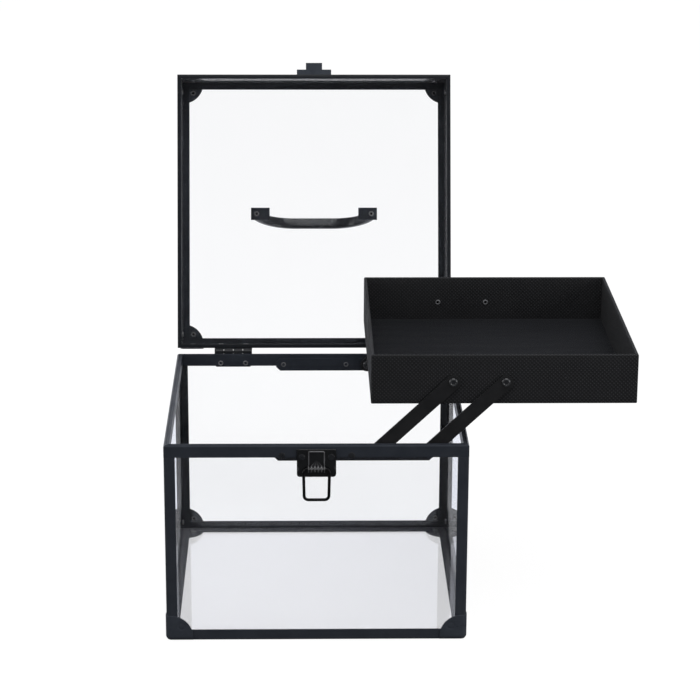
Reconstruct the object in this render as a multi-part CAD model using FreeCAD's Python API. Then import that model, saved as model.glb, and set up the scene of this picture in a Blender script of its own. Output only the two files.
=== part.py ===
"""Clear makeup train case: a box of acrylic panels in a black aluminium frame, shown open.

The lid stands open on two rolled hinges, and a fabric-covered tray is swung out to the
right on two pairs of parallel arms. Millimetres, +Z up, +Y to the rear. The origin is the
centre of the plane that the corner caps stand on.
"""

import FreeCAD, Part
import math
import os

V = FreeCAD.Vector
ORIGIN = V(0, 0, 0)
X_AXIS = V(1, 0, 0)
Y_AXIS = V(0, 1, 0)
Z_AXIS = V(0, 0, 1)

# Overall box
CASE_WIDTH = 250.0
CASE_DEPTH = 250.0
CASE_HEIGHT = 173.3
LID_HEIGHT = 45.0
LID_SEAT = 0.3
LID_OPEN_ANGLE = 107.6

# Frame and panels
FRAME_SHEET = 1.3
PANEL_SHEET = 2.0
ANGLE_LEG = 9.2
FRAME_EDGE = 1.2
RIM_LEG = 10.5
RIM_GROOVE = 1.0
RIM_GROOVE_DEPTH = 0.5

# Corner caps
CAP_SHEET = 0.8
CAP_REACH = 22.0
CAP_BEVEL = 2.6

# Hinges
HINGE_INSET = 50.8
HINGE_WIDTH = 34.0
HINGE_OFFSET = 3.75
LEAF_SHEET = 1.2
LEAF_HEIGHT = 12.8
LEAF_BEVEL = 1.6
KNUCKLE_RADIUS = 3.3
KNUCKLE_COUNT = 4
KNUCKLE_GAP = 0.5
KNUCKLE_RELIEF = 0.4
HINGE_PIN_RADIUS = 1.4

# Arms that carry the tray
STRIP_INSET = 29.0
STRIP_LENGTH = 131.0
STRIP_WIDTH = 11.6
STRIP_SHEET = 1.5
STRIP_BEVEL = 3.5
ARM_LENGTH = 87.7
ARM_WIDTH = 12.0
ARM_SHEET = 1.5
ARM_ANGLE = 43.5
ARM_PLAY = 0.3
PIVOT_INSET = 34.3
PIVOT_DROP = 8.9
PIVOT_SPACING = 43.0
PIVOT_RADIUS = 2.0
PIN_END = 0.8
PIVOT_PLAY = 0.05
LOOSE_PIVOT_PLAY = 0.4

# Tray
TRAY_WIDTH = 217.7
TRAY_HEIGHT = 41.7
TRAY_WALL = 2.6
TRAY_PIVOT_INSET = 66.9
TRAY_PIVOT_HEIGHT = 18.6
LINER_SHEET = 1.2
LINER_PLAY = 0.3

# Latch on the front rim
LATCH_WIDTH = 32.2
LATCH_DROP = 3.2
LATCH_HEIGHT = 23.9
LATCH_SHEET = 1.2
LATCH_CORNER = 2.5
FLAP_WIDTH = 13.8
FLAP_SHEET = 1.0
FLAP_TOP_MARGIN = 1.2
FLAP_CORNER = 1.4
BARREL_RADIUS = 2.85
BARREL_DROP = 16.4

# Wire bail of the latch
BAIL_RADIUS = 1.1
BAIL_PLAY = 0.08
BAIL_TOP_WIDTH = 21.3
BAIL_BOTTOM_WIDTH = 20.2
BAIL_DROP = 26.7
BAIL_BEND = 3.2
BAIL_INSERT = 4.0

# Strike on the lid's front rim
STRIKE_WIDTH = 31.4
STRIKE_SHEET = 1.2
STRIKE_LEG = 9.0
STRIKE_RISE = 0.5
STRIKE_FLANGE = 4.6
TONGUE_WIDTH = 14.8
TONGUE_REACH = 10.7
TONGUE_TIP = 7.0

# Handle on the lid
HANDLE_SPAN = 117.4
BRACKET_LENGTH = 17.4
BRACKET_WIDTH = 11.4
BRACKET_SHEET = 1.3
EAR_RADIUS = 4.6
HANDLE_AXIS_HEIGHT = 6.4
GRIP_RISE = 31.5
GRIP_WIDTH = 9.8
GRIP_THICKNESS = 5.0
GRIP_BEND = 41.4
GRIP_EDGE = 1.6
GRIP_END = 2.2
GRIP_SIDE_PLAY = 0.3
TRUNNION_RADIUS = 1.8
HANDLE_DROOP = 14.5

# Places worked out from the sizes above
RIM_WIDTH = 2 * FRAME_SHEET + PANEL_SHEET
CAP_EASE = CAP_BEVEL - CAP_SHEET * (2 - math.sqrt(2))
LID_RIM_Z = CASE_HEIGHT + LID_SEAT
LID_TOP_Z = LID_RIM_Z + LID_HEIGHT
LID_PANEL_Z = LID_TOP_Z - CAP_SHEET - FRAME_SHEET
HINGE_Y = CASE_DEPTH / 2 + HINGE_OFFSET
HINGE_Z = CASE_HEIGHT + LID_SEAT / 2
STRIP_FACE = CASE_DEPTH / 2 - RIM_WIDTH
ARM_FACE = STRIP_FACE - STRIP_SHEET - ARM_PLAY
TRAY_DEPTH = 2 * (ARM_FACE - ARM_SHEET - ARM_PLAY)
ARM_RISE = V(
    ARM_LENGTH * math.cos(math.radians(ARM_ANGLE)), 0, ARM_LENGTH * math.sin(math.radians(ARM_ANGLE))
)
OUTER_PIVOT = V(CASE_WIDTH / 2 - PIVOT_INSET, 0, CASE_HEIGHT - PIVOT_DROP)
LOWER_PIVOTS = [OUTER_PIVOT - X_AXIS * PIVOT_SPACING, OUTER_PIVOT]
UPPER_PIVOTS = [pivot + ARM_RISE for pivot in LOWER_PIVOTS]
TRAY_LEFT = UPPER_PIVOTS[0].x - TRAY_PIVOT_INSET
TRAY_BOTTOM = UPPER_PIVOTS[0].z - TRAY_PIVOT_HEIGHT
FRONT_Y = -CASE_DEPTH / 2
LATCH_TOP = CASE_HEIGHT - LATCH_DROP
BAIL_Y = FRONT_Y - BARREL_RADIUS
BARREL_Z = LATCH_TOP - BARREL_DROP

SIDES = {"front": 0, "right": 90, "rear": 180, "left": 270}
CORNERS = {"front_left": 0, "front_right": 90, "rear_right": 180, "rear_left": 270}


def block(x, y, z):
    """Box from three (low, high) pairs."""
    return Part.makeBox(x[1] - x[0], y[1] - y[0], z[1] - z[0], V(x[0], y[0], z[0]))


def rod(radius, start, along):
    """Cylinder from a point along a vector."""
    return Part.makeCylinder(radius, along.Length, start, along)


def face(points):
    """Plane face inside a closed run of corner points."""
    return Part.Face(Part.makePolygon(points + points[:1]))


def fused(shapes):
    """One solid from touching shapes, with split faces merged."""
    return shapes[0].multiFuse(shapes[1:]).removeSplitter()


def rounded_plate(x, z, y, radii):
    """Upright plate between (low, high) pairs, with its (lower, upper) corner radii in front view."""
    plate = block(x, y, z)
    for z_edge, radius in zip(z, radii):
        if radius:
            edges = [e for e in plate.Edges if is_corner(e, z_edge)]
            plate = plate.makeFillet(radius, edges)
    return plate


def is_corner(edge, z):
    """Whether a straight edge runs front to rear at a height."""
    a, b = [v.Point for v in edge.Vertexes]
    return abs(a.z - z) < 1e-6 and abs(b.z - z) < 1e-6 and abs(a.x - b.x) < 1e-6


def outward(shape, side):
    """Move a shape drawn on the rear half to the front or the rear."""
    return shape.mirror(ORIGIN, Y_AXIS) if side == "front" else shape


def angle_profile(a, b):
    """L section with a bevelled heel at the origin; its legs lie along the unit vectors a and b."""
    leg, s, e = ANGLE_LEG, FRAME_SHEET, FRAME_EDGE
    corners = [(e, 0), (leg, 0), (leg, s), (s, s), (s, leg), (0, leg), (0, e)]
    return face([a * u + b * v for u, v in corners])


def rim_profile():
    """Channel section that caps a panel's edge, open below, with a groove along its top."""
    w, s, e, leg = RIM_WIDTH, FRAME_SHEET, FRAME_EDGE, RIM_LEG
    near, far, deep = (w - RIM_GROOVE) / 2, (w + RIM_GROOVE) / 2, RIM_GROOVE_DEPTH
    corners = [
        (e, 0), (near, 0), (near, -deep), (far, -deep), (far, 0), (w, 0), (w, -leg),
        (w - s, -leg), (w - s, -s), (s, -s), (s, -leg), (0, -leg), (0, -e),
    ]
    return face([V(0, y, z) for y, z in corners])


def side_run(side):
    """Length of a side and the distance of its outer face from the middle."""
    if side in ("front", "rear"):
        return CASE_WIDTH, CASE_DEPTH / 2
    return CASE_DEPTH, CASE_WIDTH / 2


def mitred_bar(profile, side, z):
    """Run a section along one side at a height, with both ends cut at 45 degrees in plan."""
    length, reach = side_run(side)
    half, depth = length / 2, ANGLE_LEG
    bar = profile.extrude(X_AXIS * length)
    bar.translate(V(-half, 0, 0))
    height = CASE_HEIGHT
    plan = face([
        V(-half, 0, -height), V(half, 0, -height),
        V(half - depth, depth, -height), V(depth - half, depth, -height),
    ])
    bar = bar.common(plan.extrude(Z_AXIS * 2 * height))
    bar.translate(V(0, -reach, z))
    bar.rotate(ORIGIN, Z_AXIS, SIDES[side])
    return bar


def at_corner(shape, corner):
    """Move a shape drawn in the positive octant to a lower corner of the box."""
    placed = shape.copy()
    placed.rotate(ORIGIN, Z_AXIS, CORNERS[corner])
    x = CASE_WIDTH / 2 * (-1 if corner.endswith("left") else 1)
    y = CASE_DEPTH / 2 * (-1 if corner.startswith("front") else 1)
    placed.translate(V(x, y, 0))
    return placed


def octant(low, size):
    """Box from one corner point, and its three edges at that point."""
    box = Part.makeBox(size, size, size, low)
    return box, [e for e in box.Edges if min((v.Point - low).Length for v in e.Vertexes) < 1e-6]


def cap_solids():
    """Corner cap in the positive octant, and the waste that the frame loses under it."""
    inner_low = V(0, 0, CAP_SHEET)
    box, edges = octant(V(-CAP_SHEET, -CAP_SHEET, 0), CAP_SHEET + CAP_REACH)
    outer = box.makeChamfer(CAP_BEVEL, edges)
    box, edges = octant(inner_low, 2 * CAP_REACH)
    inner = box.makeChamfer(CAP_EASE, edges)
    cap = outer.cut(inner)
    for axis in (X_AXIS, Y_AXIS, Z_AXIS):
        across = V(1, 1, 1) - axis
        low = inner_low + across * CAP_EASE - axis * CAP_SHEET
        beyond = Part.makeBox(*(across * CAP_REACH + axis * CAP_SHEET), low)
        cap = cap.cut(beyond.cut(rod(CAP_REACH - CAP_EASE, low, axis * CAP_SHEET)))
    waste = Part.makeBox(CAP_REACH, CAP_REACH, CAP_REACH, inner_low).cut(inner)
    return cap, waste


def tub(height):
    """Framed open box of a given height: base angles, posts, rims, panels and corner caps."""
    s, p = FRAME_SHEET, PANEL_SHEET
    cap, waste = cap_solids()
    wastes = [at_corner(waste, corner) for corner in CORNERS]
    parts = {}
    for side in SIDES:
        angle = angle_profile(Y_AXIS, Z_AXIS)
        parts["angle_" + side] = mitred_bar(angle, side, CAP_SHEET).cut(wastes)
        parts["rim_" + side] = mitred_bar(rim_profile(), side, height)
    post_low, post_high = CAP_SHEET + ANGLE_LEG, height - RIM_LEG
    post = angle_profile(X_AXIS, Y_AXIS).extrude(Z_AXIS * (post_high - post_low))
    post.translate(V(0, 0, post_low))
    post = post.cut(waste)
    for corner in CORNERS:
        parts["post_" + corner] = at_corner(post, corner)
        parts["cap_" + corner] = at_corner(cap, corner)
    x, y = CASE_WIDTH / 2 - s, CASE_DEPTH / 2 - s
    base = CAP_SHEET + s
    wall = (base + p, height - s)
    parts["panel_base"] = block((-x, x), (-y, y), (base, base + p)).cut(wastes)
    parts["panel_front"] = block((-x, x), (-y, p - y), wall)
    parts["panel_rear"] = block((-x, x), (y - p, y), wall)
    parts["panel_left"] = block((-x, p - x), (p - y, y - p), wall)
    parts["panel_right"] = block((x - p, x), (p - y, y - p), wall)
    return parts


def shut_lid(shape):
    """Turn a tub part upside down onto the shut case."""
    turned = shape.mirror(ORIGIN, Z_AXIS)
    turned.translate(V(0, 0, LID_TOP_Z))
    return turned


def open_lid(shape):
    """Swing a part of the shut lid to where it stands open."""
    swung = shape.copy()
    swung.rotate(V(0, HINGE_Y, HINGE_Z), X_AXIS, -LID_OPEN_ANGLE)
    return swung


def knuckle_spans(centre_x, first):
    """The (low, high) X spans of one leaf's knuckles, every second one from the first."""
    length = (HINGE_WIDTH - (KNUCKLE_COUNT - 1) * KNUCKLE_GAP) / KNUCKLE_COUNT
    pitch = length + KNUCKLE_GAP
    left = centre_x - HINGE_WIDTH / 2
    return [(left + i * pitch, left + i * pitch + length) for i in range(first, KNUCKLE_COUNT, 2)]


def hinge_leaf(centre_x, first):
    """Lower hinge leaf: a plate on the rear rim with knuckles rolled round the pin."""
    half = HINGE_WIDTH / 2
    y = (CASE_DEPTH / 2, CASE_DEPTH / 2 + LEAF_SHEET)
    top = HINGE_Z - KNUCKLE_RADIUS - KNUCKLE_RELIEF
    plate_z = (HINGE_Z - LEAF_HEIGHT, top)
    plate = block((centre_x - half, centre_x + half), y, plate_z)
    pieces = [plate.makeChamfer(LEAF_BEVEL, [e for e in plate.Edges if is_corner(e, plate_z[0])])]
    bores = []
    for span in knuckle_spans(centre_x, first):
        start, along = V(span[0], HINGE_Y, HINGE_Z), X_AXIS * (span[1] - span[0])
        pieces.append(block(span, y, (top, HINGE_Z)))
        pieces.append(rod(KNUCKLE_RADIUS, start, along))
        bores.append(rod(HINGE_PIN_RADIUS + PIVOT_PLAY, start, along))
    return fused(pieces).cut(bores)


def mirror_to_lid(shape):
    """Mirror a part of the case about the plane where the two rims meet."""
    return shape.mirror(V(0, 0, HINGE_Z), Z_AXIS)


def hinge_pin(centre_x):
    """Plain pin through all the knuckles of one hinge."""
    start = V(centre_x - HINGE_WIDTH / 2, HINGE_Y, HINGE_Z)
    return rod(HINGE_PIN_RADIUS, start, X_AXIS * HINGE_WIDTH)


def pivot_hole(pivot, y, play):
    """Hole for a pivot through a plate between two Y planes."""
    start = V(pivot.x, y[0], pivot.z)
    return rod(PIVOT_RADIUS + play, start, Y_AXIS * (y[1] - y[0]))


def arm_strip(side):
    """Flat strip on the inner leg of a rim, which carries the lower pivots of two arms."""
    y = (STRIP_FACE - STRIP_SHEET, STRIP_FACE)
    right, z = CASE_WIDTH / 2 - STRIP_INSET, OUTER_PIVOT.z
    strip = block((right - STRIP_LENGTH, right), y, (z - STRIP_WIDTH / 2, z + STRIP_WIDTH / 2))
    corners = [e for e in strip.Edges if abs(e.tangentAt(e.FirstParameter).y) > 0.5]
    strip = strip.makeChamfer(STRIP_BEVEL, corners)
    return outward(strip.cut([pivot_hole(pivot, y, PIVOT_PLAY) for pivot in LOWER_PIVOTS]), side)


def arm(lower, upper, side, upper_play):
    """Flat arm with round ends and a hole at each pivot."""
    y = (ARM_FACE - ARM_SHEET, ARM_FACE)
    across = (upper - lower).cross(Y_AXIS).normalize() * (ARM_WIDTH / 2)
    shift = V(0, y[0], 0)
    corners = [lower + across, upper + across, upper - across, lower - across]
    bar = face([corner + shift for corner in corners]).extrude(Y_AXIS * ARM_SHEET)
    ends = [rod(ARM_WIDTH / 2, pivot + shift, Y_AXIS * ARM_SHEET) for pivot in (lower, upper)]
    holes = [pivot_hole(lower, y, PIVOT_PLAY), pivot_hole(upper, y, upper_play)]
    return outward(fused([bar] + ends).cut(holes), side)


def pivot_pin(pivot, y, side):
    """Plain pivot pin between two Y planes."""
    return outward(pivot_hole(pivot, y, 0), side)


def tray_tub():
    """Open tray of covered board, with four pivot holes in its long walls."""
    half = TRAY_DEPTH / 2
    x, z = (TRAY_LEFT, TRAY_LEFT + TRAY_WIDTH), (TRAY_BOTTOM, TRAY_BOTTOM + TRAY_HEIGHT)
    outside = block(x, (-half, half), z)
    w = TRAY_WALL
    inside = block((x[0] + w, x[1] - w), (w - half, half - w), (z[0] + w, z[1]))
    holes = [pivot_hole(pivot, (-half, half), PIVOT_PLAY) for pivot in UPPER_PIVOTS]
    return outside.cut([inside] + holes)


def tray_liner():
    """Loose covered card on the tray's floor."""
    edge = TRAY_WALL + LINER_PLAY
    half = TRAY_DEPTH / 2 - edge
    floor = TRAY_BOTTOM + TRAY_WALL
    return block(
        (TRAY_LEFT + edge, TRAY_LEFT + TRAY_WIDTH - edge), (-half, half), (floor, floor + LINER_SHEET)
    )


def latch_plate():
    """Latch plate with a raised flap whose lower end is rolled into the bail's barrel."""
    half = LATCH_WIDTH / 2
    front = FRONT_Y - LATCH_SHEET
    plate = rounded_plate(
        (-half, half), (LATCH_TOP - LATCH_HEIGHT, LATCH_TOP), (front, FRONT_Y), (LATCH_CORNER, 0)
    )
    flap = rounded_plate(
        (-FLAP_WIDTH / 2, FLAP_WIDTH / 2), (BARREL_Z, LATCH_TOP - FLAP_TOP_MARGIN),
        (front - FLAP_SHEET, front), (0, FLAP_CORNER),
    )
    start = V(-FLAP_WIDTH / 2, BAIL_Y, BARREL_Z)
    barrel = rod(BARREL_RADIUS, start, X_AXIS * FLAP_WIDTH)
    bore = rod(BAIL_RADIUS + BAIL_PLAY, start, X_AXIS * FLAP_WIDTH)
    return fused([plate, flap, barrel]).cut(bore)


def eased(points, ease):
    """Open run of points with each inner corner cut off at a distance from it."""
    run = points[:1]
    for before, corner, after in zip(points, points[1:], points[2:]):
        run += [corner + (end - corner).normalize() * ease for end in (before, after)]
    return run + points[-1:]


def latch_bail():
    """Wire loop hanging from the barrel, which it enters from both ends."""
    tip = FLAP_WIDTH / 2 - BAIL_INSERT
    top, low = BAIL_TOP_WIDTH / 2, BAIL_BOTTOM_WIDTH / 2
    half = [(tip, 0), (top, 0), (low, -BAIL_DROP)]
    points = [V(x, 0, z) for x, z in half] + [V(-x, 0, z) for x, z in reversed(half)]
    path = Part.makePolygon(eased(points, BAIL_BEND))
    section = Part.Wire(Part.makeCircle(BAIL_RADIUS, points[0], X_AXIS))
    wire = path.makePipeShell([section], True, False, 1)
    wire.translate(V(0, BAIL_Y, BARREL_Z))
    return wire


def strike():
    """Bent catch on the shut lid's front rim: a plate, a flange and an upturned tongue."""
    t = STRIKE_SHEET
    half, tongue = STRIKE_WIDTH / 2, TONGUE_WIDTH / 2
    base = LID_RIM_Z + STRIKE_RISE
    leg = block((-half, half), (FRONT_Y - t, FRONT_Y), (base, base + STRIKE_LEG))
    flange = block((-half, half), (FRONT_Y - STRIKE_FLANGE, FRONT_Y), (base, base + t))
    reach = FRONT_Y - TONGUE_REACH
    tongue_flat = block((-tongue, tongue), (reach, FRONT_Y), (base, base + t))
    tip = block((-tongue, tongue), (reach, reach + t), (base, base + TONGUE_TIP))
    return fused([leg, flange, tongue_flat, tip])


def mirror_left(shape):
    """Mirror a part of the right half to the left."""
    return shape.mirror(ORIGIN, X_AXIS)


def handle_bracket():
    """Right handle bracket: a base plate with an upright ear that holds the grip's trunnion."""
    x = (HANDLE_SPAN / 2 - BRACKET_LENGTH, HANDLE_SPAN / 2)
    half = BRACKET_WIDTH / 2
    axis_z = LID_PANEL_Z + HANDLE_AXIS_HEIGHT
    ear_x = (x[1] - BRACKET_SHEET, x[1])
    base = block(x, (-half, half), (LID_PANEL_Z, LID_PANEL_Z + BRACKET_SHEET))
    cheek = block(ear_x, (-EAR_RADIUS, EAR_RADIUS), (LID_PANEL_Z, axis_z))
    start, along = V(ear_x[0], 0, axis_z), X_AXIS * BRACKET_SHEET
    crown = rod(EAR_RADIUS, start, along)
    return fused([base, cheek, crown]).cut(rod(TRUNNION_RADIUS + PIVOT_PLAY, start, along))


def handle_grip():
    """Bowed grip with a trunnion at each end, drooping from upright towards the hinges."""
    axis_z = LID_PANEL_Z + HANDLE_AXIS_HEIGHT
    ear = HANDLE_SPAN / 2 - BRACKET_SHEET
    outer = ear - GRIP_SIDE_PLAY
    inner = outer - GRIP_THICKNESS
    drop = GRIP_RISE - GRIP_END
    turn = outer - math.sqrt(drop * (2 * GRIP_BEND - drop))
    centre_z = GRIP_RISE - GRIP_BEND
    y = -GRIP_WIDTH / 2

    def bow(x, radius):
        """Run of edges from the right end over the flat middle to the left end, at one side of the grip."""
        sweep = math.asin((x - turn) / radius)
        mid_x, mid_z = turn + radius * math.sin(sweep / 2), centre_z + radius * math.cos(sweep / 2)
        end_z, top_z = centre_z + radius * math.cos(sweep), centre_z + radius
        feet, ends, mids, tops = [
            [V(s * across, y, z) for s in (1, -1)]
            for across, z in ((x, -GRIP_END), (x, end_z), (mid_x, mid_z), (turn, top_z))
        ]
        return [
            Part.makeLine(feet[0], ends[0]), Part.Arc(ends[0], mids[0], tops[0]).toShape(),
            Part.makeLine(tops[0], tops[1]), Part.Arc(tops[1], mids[1], ends[1]).toShape(),
            Part.makeLine(ends[1], feet[1]),
        ]

    soles = [Part.makeLine(V(s * outer, y, -GRIP_END), V(s * inner, y, -GRIP_END)) for s in (1, -1)]
    edges = bow(outer, GRIP_BEND) + bow(inner, GRIP_BEND - GRIP_THICKNESS) + soles
    outline = Part.Face(Part.Wire(Part.__sortEdges__(edges)))
    grip = outline.extrude(Y_AXIS * GRIP_WIDTH)
    rims = [e for e in grip.Edges if abs(e.tangentAt(e.FirstParameter).y) < 0.5]
    grip = grip.makeChamfer(GRIP_EDGE, rims)
    length = GRIP_SIDE_PLAY + BRACKET_SHEET
    trunnions = [rod(TRUNNION_RADIUS, V(s * outer, 0, 0), X_AXIS * s * length) for s in (1, -1)]
    grip = fused([grip] + trunnions)
    grip.translate(V(0, 0, axis_z))
    grip.rotate(V(0, 0, axis_z), X_AXIS, -HANDLE_DROOP)
    return grip


def build():
    """All nodes by name."""
    nodes = {}
    case, lid = tub(CASE_HEIGHT), tub(LID_HEIGHT)
    lid = {name: open_lid(shut_lid(shape)) for name, shape in lid.items()}
    nodes["floor_panel"] = case["panel_base"]
    nodes["lid_top_panel"] = lid["panel_base"]
    for side in SIDES:
        nodes[side + "_panel"] = case["panel_" + side]
        nodes["base_angle_" + side] = case["angle_" + side]
        nodes["rim_" + side] = case["rim_" + side]
        nodes["lid_panel_" + side] = lid["panel_" + side]
        nodes["lid_angle_" + side] = lid["angle_" + side]
        nodes["lid_rim_" + side] = lid["rim_" + side]
    for corner in CORNERS:
        nodes["corner_post_" + corner] = case["post_" + corner]
    nodes["foot_caps"] = Part.Compound([case["cap_" + corner] for corner in CORNERS])
    nodes["lid_posts"] = Part.Compound([lid["post_" + corner] for corner in CORNERS])
    nodes["lid_caps"] = Part.Compound([lid["cap_" + corner] for corner in CORNERS])

    pins = []
    hinge_x = CASE_WIDTH / 2 - HINGE_INSET
    for name, centre_x in (("left", -hinge_x), ("right", hinge_x)):
        nodes["hinge_leaf_case_" + name] = hinge_leaf(centre_x, 0)
        nodes["hinge_leaf_lid_" + name] = open_lid(mirror_to_lid(hinge_leaf(centre_x, 1)))
        pins.append(hinge_pin(centre_x))
    nodes["hinge_pins"] = Part.Compound(pins)

    lower_pins, upper_pins = [], []
    lower_y = (ARM_FACE - ARM_SHEET - PIN_END, STRIP_FACE)
    upper_y = (TRAY_DEPTH / 2 - TRAY_WALL, ARM_FACE + PIN_END)
    for side in ("front", "rear"):
        nodes["arm_strip_" + side] = arm_strip(side)
        nodes["inner_arm_" + side] = arm(LOWER_PIVOTS[0], UPPER_PIVOTS[0], side, PIVOT_PLAY)
        nodes["outer_arm_" + side] = arm(LOWER_PIVOTS[1], UPPER_PIVOTS[1], side, LOOSE_PIVOT_PLAY)
        lower_pins += [pivot_pin(pivot, lower_y, side) for pivot in LOWER_PIVOTS]
        upper_pins += [pivot_pin(pivot, upper_y, side) for pivot in UPPER_PIVOTS]
    nodes["arm_pins"] = Part.Compound(lower_pins)
    nodes["tray_pins"] = Part.Compound(upper_pins)
    nodes["tray_tub"] = tray_tub()
    nodes["tray_liner"] = tray_liner()

    nodes["latch_plate"] = latch_plate()
    nodes["latch_bail"] = latch_bail()
    nodes["strike"] = open_lid(strike())
    nodes["handle_bracket_right"] = open_lid(handle_bracket())
    nodes["handle_bracket_left"] = open_lid(mirror_left(handle_bracket()))
    nodes["handle_grip"] = open_lid(handle_grip())
    return nodes


def main():
    """Write one file per node."""
    os.makedirs("parts", exist_ok=True)
    for name, shape in build().items():
        shape.exportStep(os.path.join("parts", name + ".step"))
        print(name, "solids", len(shape.Solids), "valid", shape.isValid(), "volume", round(shape.Volume, 1))


main()
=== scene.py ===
# %% [markdown]
# # A clear makeup train case, dressed for the camera
# The real object is a box of clear acrylic sheet in a black aluminium frame, with a lid that leans back
# and a cloth-covered tray that swings out on four arms. The CAD model already holds every solid in its
# true place and size, so this lesson only adds what a solid can't show: finishes, bent wire, pressed and
# moulded forms, cloth and rivets. Everything is in metres and in the CAD model's own frame.

# %% Open the frame
import math
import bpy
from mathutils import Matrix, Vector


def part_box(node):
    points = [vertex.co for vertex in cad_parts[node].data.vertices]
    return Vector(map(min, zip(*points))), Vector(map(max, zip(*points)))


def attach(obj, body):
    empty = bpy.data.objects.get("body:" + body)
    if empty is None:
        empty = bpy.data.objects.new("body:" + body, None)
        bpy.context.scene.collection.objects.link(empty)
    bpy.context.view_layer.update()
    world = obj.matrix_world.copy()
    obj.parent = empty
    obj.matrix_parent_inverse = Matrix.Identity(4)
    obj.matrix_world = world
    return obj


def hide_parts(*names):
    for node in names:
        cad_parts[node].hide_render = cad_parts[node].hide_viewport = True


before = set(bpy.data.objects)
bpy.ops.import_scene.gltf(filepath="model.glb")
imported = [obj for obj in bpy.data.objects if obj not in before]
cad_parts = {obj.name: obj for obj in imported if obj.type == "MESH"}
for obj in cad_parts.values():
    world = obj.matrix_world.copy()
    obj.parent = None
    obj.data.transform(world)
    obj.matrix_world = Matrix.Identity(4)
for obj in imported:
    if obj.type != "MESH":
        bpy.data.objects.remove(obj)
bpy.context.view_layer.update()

from fnmatch import fnmatch

import bmesh
import bpy
import numpy as np
from mathutils import Matrix, Vector

MM = 0.001
scene = bpy.context.scene

# %% [markdown]
# ## The camera
# The photograph was taken with a long lens from about two metres away, looking down on the case a little.
# The lens and the place were found by fitting the box's corners. A camera looks down at first. It is rolled
# a very little, tilted up, turned, and then moved to its place.

# %% Set the camera
CAMERA_TILT, CAMERA_TURN, CAMERA_ROLL = np.radians([17.4273, -1.2407, 0.270])
CAMERA_PLACE = Vector((-0.01380, -2.00697, 0.84570))
LENS_LENGTH, FILM_WIDTH = 125.88, 36
lens = bpy.data.cameras.new("long_lens")
lens.lens, lens.sensor_width = LENS_LENGTH, FILM_WIDTH
camera = bpy.data.objects.new("camera", lens)
scene.collection.objects.link(camera)
camera.matrix_world = (
    Matrix.Translation(CAMERA_PLACE) @ Matrix.Rotation(CAMERA_TURN, 4, "Z")
    @ Matrix.Rotation(math.pi / 2 - CAMERA_TILT, 4, "X") @ Matrix.Rotation(CAMERA_ROLL, 4, "Z")
)
scene.camera = camera
scene.view_settings.view_transform = "Standard"
print("camera", tuple(round(v, 4) for v in camera.location))

# %% [markdown]
# ## Short words for shader nodes
# Every finish below is a small graph of nodes. A few helpers keep the graphs readable: they fill a node's
# inputs by name, do a sum, stretch a range of values onto another, or mix two colours.

# %% Name the node helpers
def fill(tree, socket, value):
    """Link a socket to another one, or set it to a value."""
    if isinstance(value, bpy.types.NodeSocket):
        tree.links.new(value, socket)
    else:
        socket.default_value = value


def feed(tree, made, **inputs):
    """Node with inputs filled by name, an underscore standing for a space."""
    for key, value in inputs.items():
        fill(tree, made.inputs[key.replace("_", " ")], value)
    return made


def node(tree, kind, **inputs):
    """New node of a kind with inputs filled by name."""
    return feed(tree, tree.nodes.new("ShaderNode" + kind), **inputs)


def maths(tree, operation, first, second=0.0):
    """Result of a sum on two values or sockets."""
    made = node(tree, "Math")
    made.operation = operation
    for socket, value in zip(made.inputs, (first, second)):
        fill(tree, socket, value)
    return made.outputs[0]


def stretch(tree, value, start, end, low, high):
    """Value that runs from low to high while the given one runs from start to end."""
    made = node(tree, "MapRange", Value=value, From_Min=start, From_Max=end, To_Min=low, To_Max=high)
    return made.outputs["Result"]


def mixed(tree, share, first, second):
    """Colour that goes from the first to the second as the share goes from 0 to 1."""
    made = node(tree, "Mix")
    made.data_type = "RGBA"
    for key, value in (("Factor", share), ("A", first), ("B", second)):
        fill(tree, next(i for i in made.inputs if i.name == key and i.enabled), value)
    return next(o for o in made.outputs if o.enabled)


def new_finish(name):
    """Material with its node tree and shader."""
    material = bpy.data.materials.new(name)
    material.use_nodes = True
    return material, material.node_tree, material.node_tree.nodes["Principled BSDF"]


# %% [markdown]
# ## White floor and soft light
# A white sweep of paper carries the object. The paper and the world show plain white to the eye, to gloss
# and through clear sheet, while the light that they really shed is lower, so black stays black. A
# photographer keeps the room dark behind the camera, or the front sheet would mirror it. So what comes off
# a gloss finds a dim front here, and a cool white elsewhere, as from a window. Two low lamps at the sides
# and one above are soft and weak. A small share of the paper is plainly lit, and it keeps a faint shadow.

# %% Make the floor and the light
DARK_FRONT, ROOM_LIGHT, ANY_BOUNCE = 0.10, 0.55, 0.5
PAPER_GLOW, PAPER_ALBEDO, PAPER_HALF, PAPER_DROP = 0.945, 0.10, 8, 0.3 * MM
WORLD_FADE, PAPER_FADE = (-0.35, 0.2), (-0.02, 0.12)
WHITE, COOL_WHITE = (1, 1, 1, 1), (0.90, 0.925, 1.0, 1)
LAMP_AIM = Vector((0.03, 0.0, 0.18))


def sight(tree):
    """Two flags of a ray: 1 if it looks at the white before any matt bounce, and 1 if a gloss turned it.

    Looking rays come from the eye, off a gloss or through a sheet.
    """
    path = node(tree, "LightPath")
    looks = maths(tree, "MAXIMUM", path.outputs["Is Camera Ray"], path.outputs["Is Glossy Ray"])
    looks = maths(tree, "MAXIMUM", looks, path.outputs["Is Transmission Ray"])
    unspent = maths(tree, "LESS_THAN", path.outputs["Diffuse Depth"], ANY_BOUNCE)
    mirrored = maths(tree, "GREATER_THAN", path.outputs["Glossy Depth"], ANY_BOUNCE)
    return maths(tree, "MULTIPLY", looks, unspent), mirrored


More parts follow.
